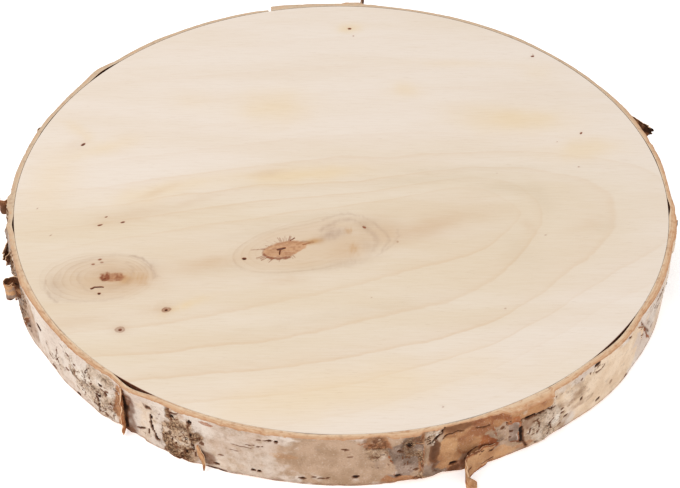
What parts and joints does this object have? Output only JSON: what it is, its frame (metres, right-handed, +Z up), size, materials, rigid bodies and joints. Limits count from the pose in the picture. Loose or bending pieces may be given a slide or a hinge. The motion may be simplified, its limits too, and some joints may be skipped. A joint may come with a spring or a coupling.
{
  "type": "birch wood slice",
  "caption": "Round slice of pale birch with a peeling strip of birch bark round its edge, sawn flat on both faces.",
  "frame": {"origin": "centre of the flat underside", "axes": "+Z up through the slice's thickness; -Y towards the side with the big torn curl; the bark's seam is at the back, near +Y"},
  "size_m": [0.3127, 0.3174, 0.027],
  "materials": {
    "wood": "sawn and sanded pale birch, unvarnished",
    "bark": "natural birch bark, papery, torn to several layers"
  },
  "bodies": {
    "root": {"wood_disc": "wood", "bark_band": "bark"}
  },
  "joints": []
}
